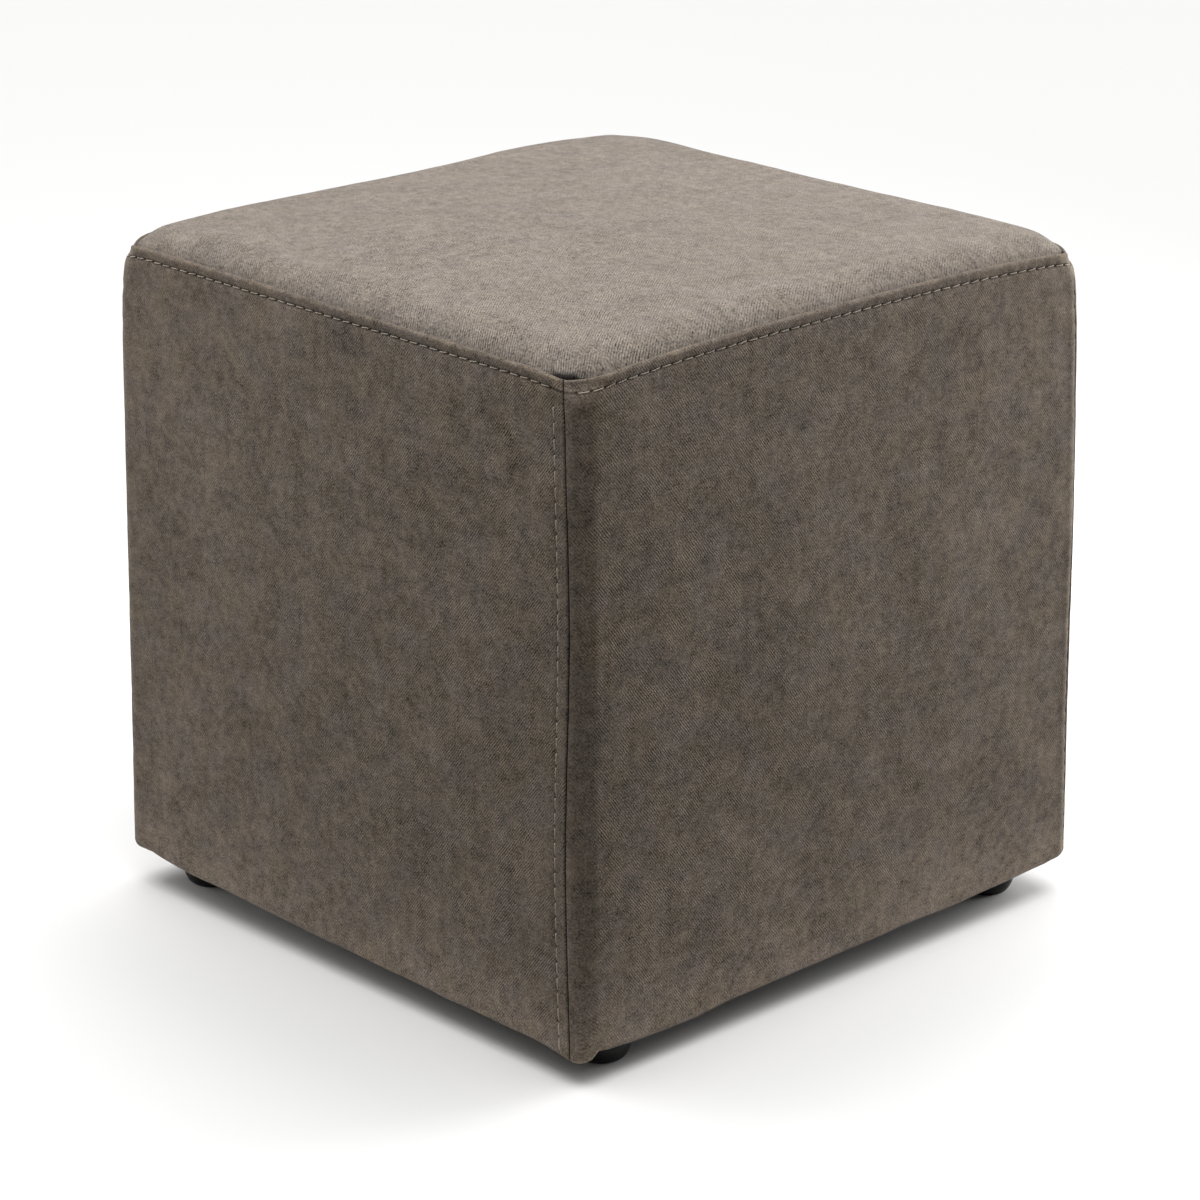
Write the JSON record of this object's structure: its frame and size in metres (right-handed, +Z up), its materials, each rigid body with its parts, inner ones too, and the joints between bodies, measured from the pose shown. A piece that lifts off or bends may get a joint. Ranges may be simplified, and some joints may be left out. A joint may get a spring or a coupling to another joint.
{
  "type": "cube pouf stool",
  "caption": "Low cube-shaped upholstered pouf for sitting or for the feet, in taupe suede-like cloth with topstitched folds, on round plastic glides.",
  "frame": {"origin": "on the floor, under the middle of the pouf", "axes": "+Z up; the front panel faces -Y and the right panel +X, and the pictured corner is between them"},
  "size_m": [0.4072, 0.4087, 0.4177],
  "materials": {
    "pouf_cloth": "matt taupe suede-like upholstery cloth with a fine twill weave",
    "base_cloth": "plain black matt cloth",
    "glide_plastic": "moulded black plastic, half matt"
  },
  "bodies": {
    "root": {"top_panel": "pouf_cloth", "side_panel_front": "pouf_cloth", "side_panel_right": "pouf_cloth", "side_panel_back": "pouf_cloth", "side_panel_left": "pouf_cloth", "base_panel": "base_cloth", "glide_front": "glide_plastic", "glide_right": "glide_plastic", "glide_back": "glide_plastic", "glide_left": "glide_plastic"}
  },
  "joints": []
}
